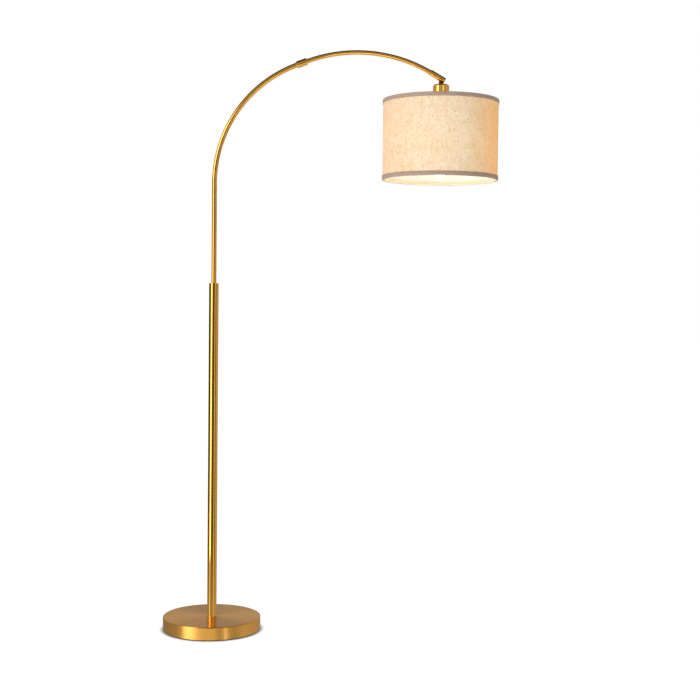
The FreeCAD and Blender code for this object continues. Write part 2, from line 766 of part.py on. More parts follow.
def make_lamp_holder():
    """Screw lamp holder: moulded cap and barrel, ceramic insert, screw shell and centre contact."""
    cap = new_body("holder_cap", **HEAD)
    inside = "holder_dia / 2 - holder_wall"
    cap_bottom = HOLDER_TOP + " - holder_cap_tall"
    revolve(cap, [
        ("thread_hole / 2", HOLDER_TOP),
        ("thread_hole / 2", HOLDER_TOP + " - holder_top_wall"),
        (inside, HOLDER_TOP + " - holder_top_wall"),
        (inside, cap_bottom),
        ("holder_dia / 2", cap_bottom),
        ("holder_dia / 2", HOLDER_TOP),
    ])
    soften(cap, [("holder_dia / 2", HOLDER_TOP)], "holder_wall")
    barrel = new_body("holder_barrel", **HEAD)
    revolve(barrel, [
        ("barrel_bore / 2", MOUTH),
        ("holder_dia / 2", MOUTH),
        ("holder_dia / 2", FLANGE_BOTTOM),
        ("barrel_flange_dia / 2", FLANGE_BOTTOM),
        ("barrel_flange_dia / 2", BARREL_TOP),
        ("barrel_seat_dia / 2", BARREL_TOP),
        ("barrel_seat_dia / 2", INSERT_BOTTOM),
        ("barrel_bore / 2", INSERT_BOTTOM),
    ])
    insert_low = INSERT_BOTTOM + " + 0.1"
    insert_top = insert_low + " + insert_tall"
    insert = new_body("holder_insert", **HEAD)
    disc = circle_sketch(insert, "XY_Plane", [("0", "0", "insert_dia")], insert_low)
    pad(insert, disc, "insert_tall")
    before = insert.Shape.Volume
    entry = circle_sketch(insert, "XY_Plane", [("0", "0", "thread_bore")], insert_top)
    pad(insert, entry, "insert_tall / 2", kind="Pocket")
    check_removed(insert, before)
    shell_inner = "screw_shell_dia - 2 * screw_shell_wall"
    shell_top = INSERT_BOTTOM + " - 0.1"
    ring("holder_screw_shell", shell_inner, "screw_shell_dia",
         shell_top + " - screw_shell_tall", shell_top, **HEAD)
    contact = new_body("holder_contact", **HEAD)
    half_long = "contact_long / 2"
    half_wide = "contact_wide / 2"
    strip = outline_sketch(contact, "XY_Plane", [
        ("-1 * " + half_long, "-1 * " + half_wide),
        (half_long, "-1 * " + half_wide),
        (half_long, half_wide),
        ("-1 * " + half_long, half_wide),
    ], INSERT_BOTTOM + " - contact_drop")
    pad(contact, strip, "contact_thick")


def make_shade_ring():
    """Threaded ring that clamps the shade's fitter against the holder's flange, with a scalloped grip."""
    top = FITTER_BOTTOM + " - fitter_gap"
    body = ring("shade_ring", "ring_nut_bore", "ring_nut_dia", top + " - ring_nut_tall", top, **HEAD)
    before = body.Shape.Volume
    scallop = circle_sketch(
        body, "XY_Plane", [("ring_nut_dia / 2 + ring_grip_dia / 4", "0", "ring_grip_dia")], top)
    cut = pad(body, scallop, "ring_nut_tall + 1", kind="Pocket")
    check_removed(body, before)
    repeat_round(body, cut, scallop, "ring_grip_count")


def rod_path(body, low, top):
    """A rod's middle line: from the fitter out and up at a slope, then up beside the shade."""
    hoop = "(hoop_dia / 2)"
    slope = "(spoke_slope * 1 deg)"
    bend_long = "(spoke_bend * tan(%s / 2))" % slope
    corner = "(%s + (%s - spoke_start) / tan%s)" % (low, hoop, slope)
    words = {
        "start": ("spoke_start", low),
        "bend_low": ("%s - %s * sin%s" % (hoop, bend_long, slope),
                     "%s - %s * cos%s" % (corner, bend_long, slope)),
        "bend_top": (hoop, "%s + %s" % (corner, bend_long)),
        "centre": (hoop + " - spoke_bend", "%s + %s" % (corner, bend_long)),
        "finish": (hoop, top),
    }
    place = {key: FreeCAD.Vector(number(x), number(y), 0) for key, (x, y) in words.items()}
    sketch = new_sketch(body, "XZ_Plane")
    circle = Part.Circle(place["centre"], FreeCAD.Vector(0, 0, 1), number("spoke_bend"))
    sketch.addGeometry(Part.LineSegment(place["start"], place["bend_low"]), False)
    sketch.addGeometry(Part.ArcOfCircle(circle, -math.radians(number("spoke_slope")), 0), False)
    sketch.addGeometry(Part.LineSegment(place["bend_top"], place["finish"]), False)
    sketch.addConstraint(Sketcher.Constraint("Tangent", 0, 2, 1, 1))
    sketch.addConstraint(Sketcher.Constraint("Tangent", 1, 2, 2, 1))
    sketch.addConstraint(Sketcher.Constraint("Vertical", 2))
    fix_point(sketch, 0, 1, *words["start"])
    fix_point(sketch, 2, 2, *words["finish"])
    drive(sketch, "Radius", (1,), "spoke_bend")
    drive(sketch, "DistanceY", (-1, 1, 2, 1), words["bend_top"][1])
    return sketch


def make_shade_spider():
    """The fitter ring and three rods that rise to the top hoop and end under its wire."""
    body = new_body("shade_spider", **HEAD)
    flat = circle_sketch(body, "XY_Plane", [
        ("0", "0", "fitter_dia"),
        ("0", "0", "fitter_bore"),
    ], FITTER_BOTTOM)
    pad(body, flat, "fitter_thick")
    hoop_low = "(%s - hoop_inset - hoop_wire / 2 + 0.2)" % SHADE_TOP
    path = rod_path(body, FITTER_BOTTOM + " + fitter_thick / 2", hoop_low)
    wire = circle_sketch(body, "XY_Plane", [("hoop_dia / 2", "0", "spoke_wire")], hoop_low)
    rod = add_feature(body, "AdditivePipe", "rod", wire)
    rod.Spine = path
    document.recompute()
    repeat_round(body, rod, flat, "spoke_count")


def make_hoop(label, height):
    """A closed ring of round wire, centred in its hem."""
    body = new_body(label, **HEAD)
    wire = circle_sketch(body, "XZ_Plane", [("hoop_dia / 2", height, "hoop_wire")])
    feature = add_feature(body, "Revolution", "turn", wire)
    feature.ReferenceAxis = (wire, ["V_Axis"])
    feature.Angle = 360
    document.recompute()


def make_trim(label, edge, inwards):
    """A folded tape over the shade's edge: outside, round the wire and back up the inside."""
    body = new_body(label, **HEAD)
    outer = "shade_dia / 2"
    inner = "trim_inner_dia / 2"
    shift = "%s %s " % (edge, inwards)
    revolve(body, [
        (outer, edge),
        (outer, shift + "trim_tall"),
        (outer + " - trim_thick", shift + "trim_tall"),
        (outer + " - trim_thick", shift + "trim_thick"),
        (inner + " + trim_thick", shift + "trim_thick"),
        (inner + " + trim_thick", shift + "trim_tall"),
        (inner, shift + "trim_tall"),
        (inner, edge),
    ])


def make_shade():
    low = SHADE_BOTTOM + " + trim_thick + 0.1"
    high = SHADE_TOP + " - trim_thick - 0.1"
    ring("shade_fabric", "fabric_dia - 2 * fabric_thick", "fabric_dia", low, high, **HEAD)
    ring("shade_liner", "liner_dia - 2 * liner_thick", "liner_dia", low, high, **HEAD)
    make_hoop("shade_top_hoop", SHADE_TOP + " - hoop_inset")
    make_hoop("shade_bottom_hoop", SHADE_BOTTOM + " + hoop_inset")
    make_trim("shade_trim_top", SHADE_TOP, "-")
    make_trim("shade_trim_bottom", SHADE_BOTTOM, "+")


# ---------------------------------------------------------------- bulb

def make_bulb():
    """A straight opal screw bulb, tip down."""
    globe = new_body("bulb_globe", **HEAD)
    wall = "bulb_wall"
    globe_top = TIP + " + bulb_globe_tall"
    revolve(globe, [
        ("0", TIP),
        ("bulb_dia / 2", TIP),
        ("bulb_dia / 2", globe_top),
        ("bulb_dia / 2 - " + wall, globe_top),
        ("bulb_dia / 2 - " + wall, TIP + " + " + wall),
        ("0", TIP + " + " + wall),
    ])
    soften(globe, [("bulb_dia / 2", TIP)], "bulb_dia / 2 - 0.2")
    inner_floor = ("bulb_dia / 2 - " + wall, TIP + " + " + wall)
    soften(globe, [inner_floor], "bulb_dia / 2 - 0.2 - " + wall)
    housing = new_body("bulb_housing", **HEAD)
    low = globe_top + " + 0.1"
    high = low + " + bulb_body_tall"
    revolve(housing, [
        ("0", low),
        ("bulb_dia / 2", low),
        ("bulb_dia / 2", low + " + 2"),
        ("bulb_neck_dia / 2", high + " - 2"),
        ("bulb_neck_dia / 2 - 1", high),
        ("0", high),
    ])
    cap_low = high + " + 0.05"
    cap_high = cap_low + " + bulb_cap_tall"
    cap = ring("bulb_cap", "bulb_cap_dia - 2 * bulb_cap_wall", "bulb_cap_dia", cap_low, cap_high, **HEAD)
    cap_edge = [("bulb_cap_dia / 2", cap_high)]
    soften(cap, cap_edge, "bulb_cap_wall / 2", kind="Chamfer")
    insulator = new_body("bulb_insulator", **HEAD)
    cone_low = cap_high + " + 0.05"
    cone_high = cone_low + " + bulb_insulator_tall"
    revolve(insulator, [
        ("0", cone_low),
        ("bulb_cap_dia / 2 - 1", cone_low),
        ("bulb_contact_dia / 2 + 1.5", cone_high),
        ("0", cone_high),
    ])
    contact = new_body("bulb_contact", **HEAD)
    disc = circle_sketch(contact, "XY_Plane", [("0", "0", "bulb_contact_dia")], cone_high + " + 0.1")
    pad(contact, disc, "bulb_contact_thick")
    height = "(%s + 0.1 + bulb_contact_thick)" % cone_high
    soften(contact, [("bulb_contact_dia / 2", height)], "bulb_contact_thick / 2")


# ---------------------------------------------------------------- leads

def make_leads():
    """The two-core lead: base, slack inside the pole, arm, and head."""
    base = new_body("base_lead", y="gland_inner_end - 0.1", z="gland_high")
    base.Placement.Rotation = FreeCAD.Rotation(
        FreeCAD.Vector(0, 0, 1), FreeCAD.Vector(-1, 0, 0), FreeCAD.Vector(0, -1, 0), "ZXY")
    sweep(base, [
        ("line", "gland_inner_end - 0.1 - lead_bend"),
        ("arc", "lead_bend", "90"),
        ("line", "lead_top - gland_high - lead_bend"),
    ], ["lead_dia"])
    slack = new_body("pole_lead", z="lead_top + lead_gap")
    disc = circle_sketch(slack, "XY_Plane", [("0", "0", "lead_dia")])
    pad(slack, disc, ARM_BOTTOM + " - lead_top - 2 * lead_gap")
    arm = new_body("arm_lead", z=ARM_BOTTOM)
    sweep(arm, [
        ("line", "bend_start - " + ARM_BOTTOM),
        ("arc", "lower_radius", "lower_angle"),
        ("line", "collar_long"),
        ("arc", "upper_radius", "upper_angle"),
        ("line", "pivot_along - slot_behind - sleeve_back"),
    ], ["lead_dia"])
    head = new_body("head_lead", **HEAD)
    high = "(-1 * groove_root_dia / 2 - 1)"
    low = "(%s + 0.2)" % BARREL_TOP
    disc = circle_sketch(head, "XY_Plane", [("0", "0", "lead_dia")], low)
    pad(head, disc, "%s - %s" % (high, low))


# ---------------------------------------------------------------- whole lamp

make_foot_pad()
make_base_plate()
make_base_weight()
make_base_shell()
make_stud_and_nut()
make_cord_gland()
make_pole()
make_arm_guide_plug()
make_arm_tubes()
make_arm_joint()
make_end_sleeve()
make_pivot()
make_knuckle()
make_socket_cup()
make_cup_fixings()
make_lamp_holder()
make_shade_ring()
make_shade_spider()
make_shade()
make_bulb()
make_leads()
document.recompute()

for item in document.Objects:
    if "Invalid" in item.State or "Error" in item.State:
        raise RuntimeError("%s: %s" % (item.Label, item.State))
for body in bodies:
    if body.Shape.isNull() or not body.Shape.isValid() or body.Shape.Volume <= 0:
        raise RuntimeError(body.Label + ": the shape is not a valid solid")

os.makedirs("parts", exist_ok=True)
for body in bodies:
    body.Shape.exportStep("parts/%s.step" % body.Label)
    print(body.Label, round(body.Shape.Volume), len(body.Shape.Solids))
print("pivot", round(number(PIVOT_X), 3), round(number(PIVOT_Z), 3))
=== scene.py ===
import math

import bmesh
import bpy
from mathutils import Matrix, Vector, noise


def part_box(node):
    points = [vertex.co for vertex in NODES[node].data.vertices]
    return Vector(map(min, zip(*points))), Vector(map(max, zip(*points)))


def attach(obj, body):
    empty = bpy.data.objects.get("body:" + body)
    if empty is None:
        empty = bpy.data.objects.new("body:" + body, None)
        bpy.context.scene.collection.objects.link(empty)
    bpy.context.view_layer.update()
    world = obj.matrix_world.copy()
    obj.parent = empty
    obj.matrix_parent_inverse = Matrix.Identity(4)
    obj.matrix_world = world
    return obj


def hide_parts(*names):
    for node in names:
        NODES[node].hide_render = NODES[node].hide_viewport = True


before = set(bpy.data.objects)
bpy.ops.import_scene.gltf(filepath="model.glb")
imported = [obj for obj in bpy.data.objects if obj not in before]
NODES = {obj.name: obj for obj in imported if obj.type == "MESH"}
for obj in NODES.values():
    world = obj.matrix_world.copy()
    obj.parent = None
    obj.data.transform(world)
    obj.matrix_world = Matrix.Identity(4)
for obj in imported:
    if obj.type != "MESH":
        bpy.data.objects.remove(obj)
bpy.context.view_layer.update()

# ------------------------------------------------------------------ places taken from the frame

MM = 0.001


def middle(cad_node):
    low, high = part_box(cad_node)
    return (low + high) / 2


def outer_radius(cad_node):
    """Half the width of a node that is round about Z."""
    low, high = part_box(cad_node)
    return (high.x - low.x) / 2


HEAD_AXIS = middle("socket_cup")
SHADE_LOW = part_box("shade_trim_bottom")[0].z
SHADE_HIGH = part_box("shade_trim_top")[1].z
SHADE_TALL = SHADE_HIGH - SHADE_LOW


# ------------------------------------------------------------------ material tools

def new_material(name):
    material = bpy.data.materials.new(name)
    material.use_nodes = True
    tree = material.node_tree
    shader = tree.nodes["Principled BSDF"]
    return material, tree, shader


def node(tree, kind, **settings):
    made = tree.nodes.new("ShaderNode" + kind)
    for key, value in settings.items():
        setattr(made, key, value)
    return made


def coordinates(tree, kind="Object", scale=(1, 1, 1)):
    """Texture coordinates, stretched."""
    source = node(tree, "TexCoord")
    mapping = node(tree, "Mapping")
    mapping.inputs["Scale"].default_value = scale
    tree.links.new(source.outputs[kind], mapping.inputs["Vector"])
    return mapping.outputs["Vector"]


def clouds(tree, vector, scale, detail=3.0, roughness=0.5, distortion=0.0):
    made = node(tree, "TexNoise")
    made.inputs["Scale"].default_value = scale
    made.inputs["Detail"].default_value = detail
    made.inputs["Roughness"].default_value = roughness
    made.inputs["Distortion"].default_value = distortion
    tree.links.new(vector, made.inputs["Vector"])
    return made.outputs["Fac"]


def span(tree, value, low, high, to_low=0.0, to_high=1.0):
    """Maps one range to another, and holds it inside."""
    made = node(tree, "MapRange", clamp=True)
    made.inputs["From Min"].default_value = low
    made.inputs["From Max"].default_value = high
    made.inputs["To Min"].default_value = to_low
    made.inputs["To Max"].default_value = to_high
    tree.links.new(value, made.inputs["Value"])
    return made.outputs["Result"]


def maths(tree, operation, first, second=0.0):
    """Math on one or two values, each a socket or a number."""
    made = node(tree, "Math", operation=operation)
    for index, value in enumerate((first, second)):
        if isinstance(value, (int, float)):
            made.inputs[index].default_value = value
        else:
            tree.links.new(value, made.inputs[index])
    return made.outputs["Value"]


def blend_colours(tree, factor, first, second, mode="MIX"):
    """Two colours, each a socket or a tuple, mixed by a factor."""
    made = node(tree, "Mix", data_type="RGBA", blend_type=mode)
    slots = {"A": first, "B": second}
    sockets = {s.name: s for s in made.inputs if s.type == "RGBA"}
    for key, colour in slots.items():
        if isinstance(colour, tuple):
            sockets[key].default_value = (*colour, 1.0)
        else:
            tree.links.new(colour, sockets[key])
    if isinstance(factor, (int, float)):
        made.inputs[0].default_value = factor
    else:
        tree.links.new(factor, made.inputs[0])
    return next(s for s in made.outputs if s.type == "RGBA")


def add_bump(tree, shader, height, strength, distance):
    made = node(tree, "Bump")
    made.inputs["Strength"].default_value = strength
    made.inputs["Distance"].default_value = distance
    tree.links.new(height, made.inputs["Height"])
    tree.links.new(made.outputs["Normal"], shader.inputs["Normal"])
    return made


def separate(tree, vector):
    """The X, Y and Z of a vector, by name."""
    made = node(tree, "SeparateXYZ")
    tree.links.new(vector, made.inputs[0])
    return made.outputs


def two_tone(tree, value, pale, deep, low=0.3, high=0.7):
    """A pale colour that turns deep as the value goes from low to high."""
    return blend_colours(tree, span(tree, value, low, high), pale, deep)


def radius_from_axis(tree):
    """Distance from the object's own Z axis."""
    source = node(tree, "TexCoord")
    flat = node(tree, "VectorMath", operation="MULTIPLY")
    flat.inputs[1].default_value = (1, 1, 0)
    tree.links.new(source.outputs["Object"], flat.inputs[0])
    length = node(tree, "VectorMath", operation="LENGTH")
    tree.links.new(flat.outputs["Vector"], length.inputs[0])
    return length.outputs["Value"]


def tangent_round_axis(tree, shader):
    made = node(tree, "Tangent", direction_type="RADIAL", axis="Z")
    tree.links.new(made.outputs["Tangent"], shader.inputs["Tangent"])


# ------------------------------------------------------------------ materials

BRASS = (0.93, 0.47, 0.06)
BRASS_DEEP = (0.89, 0.43, 0.045)
BRASS_TOP = (0.90, 0.455, 0.09)
BRASS_TOP_DEEP = (0.82, 0.40, 0.065)
BRASS_SIDE = (0.93, 0.475, 0.09)
BRASS_SIDE_DEEP = (0.87, 0.43, 0.06)
BRASS_EDGE = (0.95, 0.66, 0.30, 1.0)
BRASS_TOP_EDGE = (1.0, 0.78, 0.46, 1.0)

# How far a draw line's pattern is stretched: a small number is a long line.
EVEN = (1, 1, 1)
LENGTHWISE = (1, 1, 0.02)
ROUND_THE_ARCH = (0.3, 1, 0.3)


def brass(name, grain=EVEN, roughness=0.08, spread=0.03):
    """Lacquered satin brass, with soft draw lines along the stretched direction and faint clouding."""
    material, tree, shader = new_material(name)
    shader.inputs["Metallic"].default_value = 1.0
    lines = clouds(tree, coordinates(tree, scale=grain), 130.0, 2.0, 0.5)
    cloud = clouds(tree, coordinates(tree), 22.0, 3.0, 0.55)
    tree.links.new(two_tone(tree, cloud, BRASS, BRASS_DEEP, 0.35), shader.inputs["Base Color"])
    tree.links.new(span(tree, lines, 0.25, 0.75, roughness - spread / 2, roughness + spread / 2),
                   shader.inputs["Roughness"])
    shader.inputs["Specular Tint"].default_value = BRASS_EDGE
    shader.inputs["Coat Weight"].default_value = 0.7
    shader.inputs["Coat IOR"].default_value = 1.55
    shader.inputs["Coat Roughness"].default_value = 0.05
    add_bump(tree, shader, cloud, 0.05, 0.05 * MM)
    return material


def base_brass():
    """The base's cover: circular brushing on top, and a plainer satin on the rolled side."""
    material, tree, shader = new_material("base_brass")
    shader.inputs["Metallic"].default_value = 1.0
    rings = node(tree, "TexNoise", noise_dimensions="1D")
    rings.inputs["Scale"].default_value = 1400.0
    rings.inputs["Detail"].default_value = 2.0
    tree.links.new(radius_from_axis(tree), rings.inputs["W"])
    ring = rings.outputs["Fac"]
    facing = separate(tree, node(tree, "NewGeometry").outputs["Normal"])
    is_top = span(tree, facing["Z"], 0.9, 0.99)
    cloud = clouds(tree, coordinates(tree), 9.0, 2.0, 0.5)
    side = two_tone(tree, cloud, BRASS_SIDE, BRASS_SIDE_DEEP, 0.35)
    top = two_tone(tree, ring, BRASS_TOP, BRASS_TOP_DEEP)
    tree.links.new(blend_colours(tree, is_top, side, top), shader.inputs["Base Color"])
    roughness = node(tree, "Mix", data_type="FLOAT")
    tree.links.new(is_top, roughness.inputs[0])
    tree.links.new(span(tree, cloud, 0.3, 0.7, 0.36, 0.40), roughness.inputs[2])
    tree.links.new(span(tree, ring, 0.3, 0.7, 0.30, 0.38), roughness.inputs[3])
    tree.links.new(roughness.outputs[0], shader.inputs["Roughness"])
    shader.inputs["Specular Tint"].default_value = BRASS_TOP_EDGE
    shader.inputs["Coat Weight"].default_value = 0.55
    shader.inputs["Coat Roughness"].default_value = 0.07
    shader.inputs["Anisotropic"].default_value = 0.85
    shader.inputs["Anisotropic Rotation"].default_value = 0.25
    tangent_round_axis(tree, shader)
    add_bump(tree, shader, maths(tree, "MULTIPLY", ring, is_top), 0.12, 0.05 * MM)
    return material


def worn(name, colour, deep, metallic, roughness, scale, depth_mm):
    """A general finish: colour drift, uneven gloss and a fine surface of the given scale."""
    material, tree, shader = new_material(name)
    shader.inputs["Metallic"].default_value = metallic
    drift = clouds(tree, coordinates(tree), scale / 12, 3.0, 0.55)
    fine = clouds(tree, coordinates(tree), scale, 3.0, 0.6)
    tree.links.new(two_tone(tree, drift, colour, deep), shader.inputs["Base Color"])
    tree.links.new(span(tree, fine, 0.3, 0.7, roughness * 0.88, min(1.0, roughness * 1.12)),
                   shader.inputs["Roughness"])
    add_bump(tree, shader, fine, 0.25, depth_mm * MM)
    return material


def felt():
    material, tree, shader = new_material("black_felt")
    shader.inputs["Roughness"].default_value = 0.95
    shader.inputs["Sheen Weight"].default_value = 0.15
    fibres = clouds(tree, coordinates(tree), 1800.0, 4.0, 0.75, 1.5)
    patch = clouds(tree, coordinates(tree), 60.0, 2.0)
    grey = two_tone(tree, fibres, (0.008, 0.008, 0.008), (0.035, 0.034, 0.032), 0.35, 0.75)
    faded = span(tree, patch, 0.4, 0.8, 0.0, 0.3)
    tree.links.new(blend_colours(tree, faded, grey, (0.02, 0.019, 0.017)), shader.inputs["Base Color"])
    add_bump(tree, shader, fibres, 0.6, 0.4 * MM)
    return material


def thread_waves(tree, vector, across, pitch):
    """Parallel threads of one direction: a ridge for each thread."""
    made = node(tree, "TexWave", wave_type="BANDS", bands_direction=across, wave_profile="SIN")
    made.inputs["Scale"].default_value = 1 / (pitch * 20 / math.pi)
    made.inputs["Distortion"].default_value = 1.2
    made.inputs["Detail"].default_value = 1.0
    made.inputs["Detail Scale"].default_value = 0.6
    tree.links.new(vector, made.inputs["Vector"])
    return made.outputs["Fac"]


LINEN_PITCH = 0.9 * MM

# Layers of unevenness: cells per metre along the cloth and up it, where the layer starts, and its weight.
LINEN_SLUBS = (
    (300, 22, 0.46, 0.28),
    (620, 80, 0.48, 0.34),
    (26, 330, 0.50, 0.20),
    (190, 150, 0.47, 0.46),
    (70, 50, 0.46, 0.28),
    (15, 11, 0.45, 0.18),
)

# The cloth's dyes, seen by reflected light and with the bulb behind it.
LINEN_SURFACE = {"pale": (0.80, 0.71, 0.59), "deep": (0.54, 0.43, 0.25), "speck": (0.22, 0.18, 0.10),
                 "nub": (0.92, 0.88, 0.8), "gap": (0.46, 0.36, 0.24)}
LINEN_GLOW = {"pale": (1.0, 0.69, 0.40), "deep": (0.88, 0.53, 0.18), "speck": (0.40, 0.29, 0.12),
              "nub": (1.0, 0.84, 0.6), "gap": (0.78, 0.47, 0.24)}

# The side of the drum, +1 away from the pole, and the painted shade that darkens and warms the cloth towards
# it.
LINEN_SIDE_SHADING = ((1, (1.18, 0.80, 0.50)), (-1, (1.02, 0.90, 0.84)))
# Distances from the drum's axis between which the painted side shade comes in.
SIDE_SHADE_STARTS, SIDE_SHADE_ENDS = 52.15 * MM, 149 * MM


def linen():
    """Natural linen, lit from behind: slubs, flecks and cross threads over a plain weave, with painted shade
    towards both sides of the drum.
    """
    material, tree, shader = new_material("linen")
    flat = coordinates(tree, "UV")
    weave = maths(tree, "MAXIMUM", thread_waves(tree, flat, "X", LINEN_PITCH),
                  thread_waves(tree, flat, "Y", LINEN_PITCH))
    slub = 0.0
    for along, up, start, weight in LINEN_SLUBS:
        layer = clouds(tree, coordinates(tree, "UV", (along, up, 1)), 1.0, 3.0, 0.6, 0.5)
        slub = maths(tree, "ADD", slub, span(tree, layer, start, start + 0.22, 0.0, weight))
    fleck = clouds(tree, coordinates(tree, "UV", (300, 190, 1)), 1.0, 1.0, 0.5, 0.3)
    nep = clouds(tree, coordinates(tree, "UV", (210, 210, 1)), 1.0, 1.0, 0.5, 0.3)
    dark_fleck = span(tree, fleck, 0.69, 0.76)
    pale_fleck = span(tree, nep, 0.27, 0.22)
    threads = span(tree, weave, 0.0, 1.0, 0.2, 0.0)

    def dyed(dyes):
        colour = blend_colours(tree, slub, dyes["pale"], dyes["deep"])
        colour = blend_colours(tree, pale_fleck, colour, dyes["nub"])
        colour = blend_colours(tree, dark_fleck, colour, dyes["speck"])
        return blend_colours(tree, threads, colour, dyes["gap"])

    surface = dyed(LINEN_SURFACE)
    glow = dyed(LINEN_GLOW)
    across = separate(tree, coordinates(tree))["X"]
    # Painted shade: the cloth is painted darker and more orange towards the side away from the pole, and a
    # little darker and pinker towards the pole.
    for side, side_shade in LINEN_SIDE_SHADING:
        near = span(tree, across, HEAD_AXIS.x + side * SIDE_SHADE_STARTS, HEAD_AXIS.x + side * SIDE_SHADE_ENDS)
        near.node.interpolation_type = "SMOOTHSTEP"
        glow = blend_colours(tree, near, glow, side_shade, "MULTIPLY")
        surface = blend_colours(tree, near, surface, tuple(min(1.0, part) for part in side_shade), "MULTIPLY")
    tree.links.new(surface, shader.inputs["Base Color"])
    tree.links.new(glow, shader.inputs["Emission Color"])
    # The cloth is brightest level with the bulb and a little dimmer by both tapes.
    from_bulb = maths(tree, "SUBTRACT", separate(tree, flat)["Y"], SHADE_TALL * 0.40)
    from_bulb = maths(tree, "ABSOLUTE", from_bulb)
    tree.links.new(span(tree, from_bulb, 0.0, SHADE_TALL * 0.6, 0.475, 0.405),
                   shader.inputs["Emission Strength"])
    shader.inputs["Roughness"].default_value = 0.9
    shader.inputs["Sheen Weight"].default_value = 0.1
    shader.inputs["Specular IOR Level"].default_value = 0.2
    relief = maths(tree, "ADD", weave, maths(tree, "MULTIPLY", slub, 0.8))
    add_bump(tree, shader, relief, 0.5, 0.2 * MM)
    return material


TAPE_RIB_PITCH = 0.8 * MM
TAPE_LINE_PITCH = 0.7 * MM
# Along the tape's folded width, where it turns inside the shade.
TAPE_INSIDE = (12.5 * MM, 15.5 * MM)


def tape():
    """The taupe edging tape: a fine ribbed weave."""
    material, tree, shader = new_material("trim_tape")
    flat = coordinates(tree, "UV")
    ribs = thread_waves(tree, flat, "X", TAPE_RIB_PITCH)
    lines = thread_waves(tree, flat, "Y", TAPE_LINE_PITCH)
    uneven = clouds(tree, coordinates(tree, "UV", (60, 500, 1)), 1.0, 3.0, 0.6)
    colour = two_tone(tree, uneven, (0.70, 0.545, 0.435), (0.47, 0.32, 0.23))
    colour = blend_colours(tree, span(tree, ribs, 0.0, 1.0, 0.3, 0.0), colour, (0.42, 0.30, 0.22))
    colour = blend_colours(tree, span(tree, lines, 0.0, 1.0, 0.2, 0.0), colour, (0.46, 0.34, 0.25))
    # Painted light: where the tape turns inside the shade it is painted a lighter cream, as lit by the bulb.
    inside = span(tree, separate(tree, flat)["Y"], *TAPE_INSIDE)
    tree.links.new(blend_colours(tree, inside, colour, (0.84, 0.74, 0.56)), shader.inputs["Base Color"])
    # The bulb shines through the part that is folded inside.
    shine = blend_colours(tree, uneven, (1.0, 0.80, 0.50), (1.0, 0.74, 0.42))
    tree.links.new(shine, shader.inputs["Emission Color"])
    tree.links.new(span(tree, inside, 0.0, 1.0, 0.0, 0.17), shader.inputs["Emission Strength"])
    shader.inputs["Roughness"].default_value = 0.88
    shader.inputs["Sheen Weight"].default_value = 0.15
    shader.inputs["Specular IOR Level"].default_value = 0.25
    add_bump(tree, shader, maths(tree, "ADD", ribs, lines), 0.4, 0.15 * MM)
    return material


def lining():
    """Smooth white laminate inside the shade, bright from the bulb."""
    material, tree, shader = new_material("shade_lining")
    grain = clouds(tree, coordinates(tree), 260.0, 3.0, 0.6)
    drift = clouds(tree, coordinates(tree), 18.0, 2.0)
    tree.links.new(two_tone(tree, drift, (0.93, 0.90, 0.83), (0.90, 0.86, 0.77)), shader.inputs["Base Color"])
    tree.links.new(two_tone(tree, grain, (1.0, 0.91, 0.76), (1.0, 0.88, 0.71)),
                   shader.inputs["Emission Color"])
    shader.inputs["Emission Strength"].default_value = 0.12
    shader.inputs["Roughness"].default_value = 0.5
    add_bump(tree, shader, grain, 0.1, 0.1 * MM)
    return material


def opal():
    """The bulb's lit opal shell."""
    material, tree, shader = new_material("opal_bulb")
    drift = clouds(tree, coordinates(tree), 40.0, 2.0)
    tree.links.new(two_tone(tree, drift, (1.0, 0.97, 0.9), (1.0, 0.95, 0.86)),
                   shader.inputs["Emission Color"])
    shader.inputs["Base Color"].default_value = (0.95, 0.94, 0.9, 1)
    shader.inputs["Emission Strength"].default_value = 3.0
    shader.inputs["Roughness"].default_value = 0.35
    return material


def clad(material, *names):
    """Gives CAD nodes a material. Their shape stays as it is."""
    for name in names:
        slots = NODES[name].material_slots
        if not slots:
            NODES[name].data.materials.append(material)
        for index in range(len(slots)):
            slots[index].material = material


